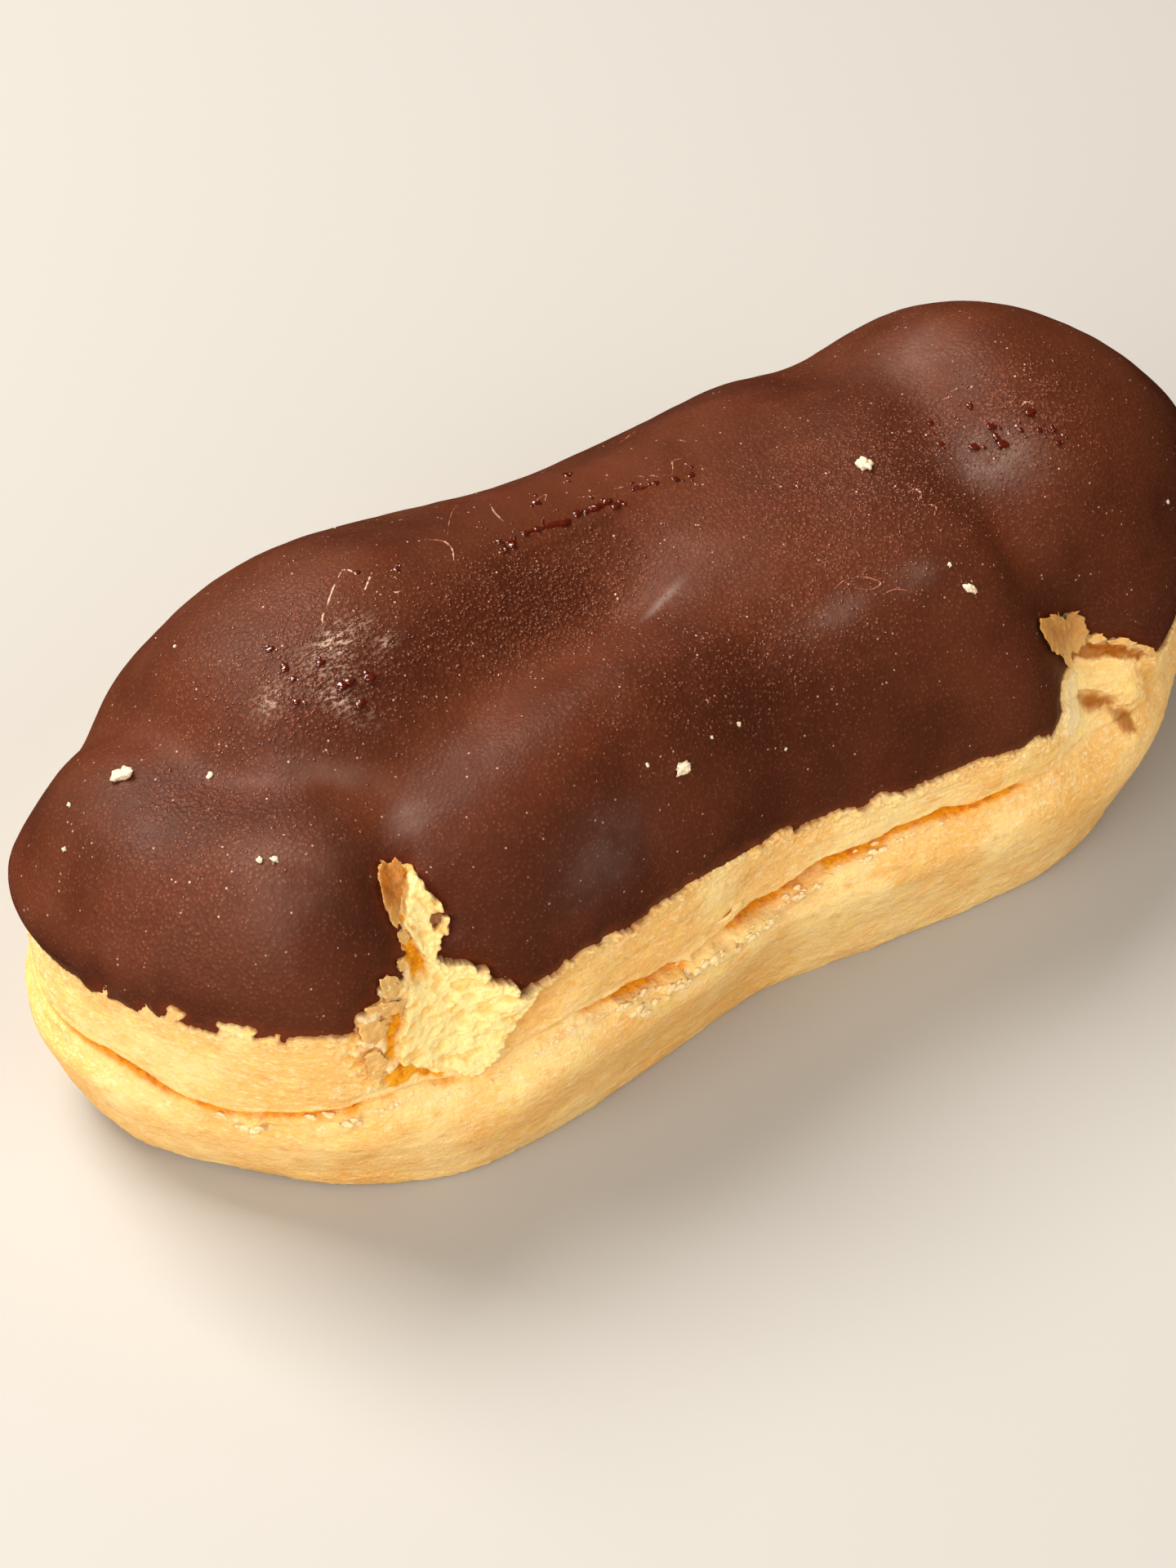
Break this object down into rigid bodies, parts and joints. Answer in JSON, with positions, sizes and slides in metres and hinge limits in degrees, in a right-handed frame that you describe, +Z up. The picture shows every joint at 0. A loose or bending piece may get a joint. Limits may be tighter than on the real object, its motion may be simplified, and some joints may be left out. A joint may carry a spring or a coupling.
{
  "type": "mini chocolate eclair",
  "caption": "Small baked choux bun with a crease round its side and a set chocolate coat over its top, torn open near each end.",
  "frame": {"origin": "middle of the bun's box on the plane of its flat base", "axes": "+X along the bun, from the end with the narrow notch to the end with the tall crown; +Z up; -Y is the front, where the coat is torn open"},
  "size_m": [0.0726, 0.03, 0.0261],
  "materials": {
    "baked_choux": "dry golden choux, pale at worn edges and crumb, orange in the crease",
    "set_chocolate": "satin set chocolate with fine beads of damp and a few scuffs"
  },
  "bodies": {
    "root": {"choux_shell": "baked_choux", "chocolate_coating": "set_chocolate"}
  },
  "joints": []
}
